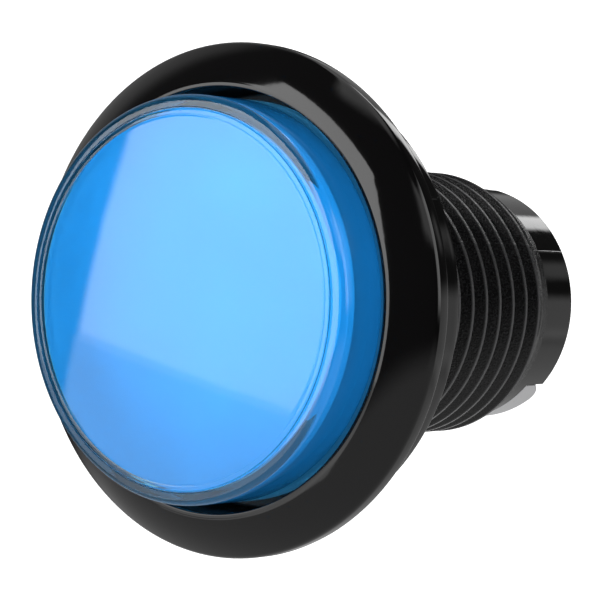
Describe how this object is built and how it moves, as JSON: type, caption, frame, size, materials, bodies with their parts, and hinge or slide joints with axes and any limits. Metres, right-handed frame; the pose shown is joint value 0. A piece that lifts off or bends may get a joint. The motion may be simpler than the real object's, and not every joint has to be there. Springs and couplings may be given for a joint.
{
  "type": "illuminated push button",
  "caption": "Panel-mounted round push button with a wide black bezel, a large translucent blue cap, a threaded barrel, a return spring, a small switch and a lamp inside.",
  "frame": {"origin": "centre of the flange's back face, the plane that rests on the panel", "axes": "+Z along the button's axis, out of the panel towards the cap; +X towards the keyway ribs of the stem, with the first tail notch around -74.5 degrees from +X"},
  "size_m": [0.06, 0.06, 0.0686],
  "materials": {
    "black_housing": "moulded gloss black, finely textured between the threads",
    "blue_lens": "translucent blue, polished",
    "white_diffuser": "milky white, satin",
    "white_plunger": "moulded white",
    "spring_steel": "drawn wire",
    "grey_nylon": "moulded light grey",
    "switch_black": "moulded black",
    "red_button": "moulded red",
    "spring_bronze": "rolled strip",
    "contact_silver": "plain",
    "tinned_brass": "tin plated",
    "clear_lamp": "clear",
    "board_white": "solder-mask white",
    "led_yellow": "phosphor resin"
  },
  "bodies": {
    "housing": {"bezel_housing": "black_housing", "return_spring": "spring_steel", "switch_holder": "grey_nylon", "switch_base": "switch_black", "switch_cover": "switch_black", "common_terminal": "tinned_brass", "open_terminal": "tinned_brass", "closed_terminal": "tinned_brass", "open_contact": "contact_silver", "closed_contact": "contact_silver", "lamp_base": "white_plunger", "lamp_lens": "clear_lamp", "led_board": "board_white", "led_chip": "led_yellow", "lamp_wires": "contact_silver", "lamp_terminal_a": "tinned_brass", "lamp_terminal_b": "tinned_brass"},
    "plunger": {"plunger": "white_plunger", "diffuser_disc": "white_diffuser", "lens_cap": "blue_lens"},
    "switch_button": {"switch_button": "red_button"},
    "contact_blade": {"contact_blade": "spring_bronze", "moving_contact": "contact_silver"}
  },
  "joints": [
    {"name": "press", "type": "slide", "parent": "housing", "child": "plunger", "axis": [0, 0, -1], "range_m": [0, 0.004], "stiffness_N_per_m": 250, "springref_m": -0.006, "deforming": ["return_spring"]},
    {"name": "switch_press", "type": "slide", "parent": "housing", "child": "switch_button", "axis": [0, 0, -1], "range_m": [0, 0.0008]},
    {"name": "blade_tilt", "type": "hinge", "parent": "housing", "child": "contact_blade", "pos_m": [-0.0088, -0.0047, -0.036], "axis": [-1, 0, 0], "range_deg": [0, 10.79]}
  ],
  "couplings": [
    {"joint": "switch_press", "follows": "press", "ratio": 0.2},
    {"joint": "blade_tilt", "follows": "press", "rad_per_m": 47.055}
  ]
}
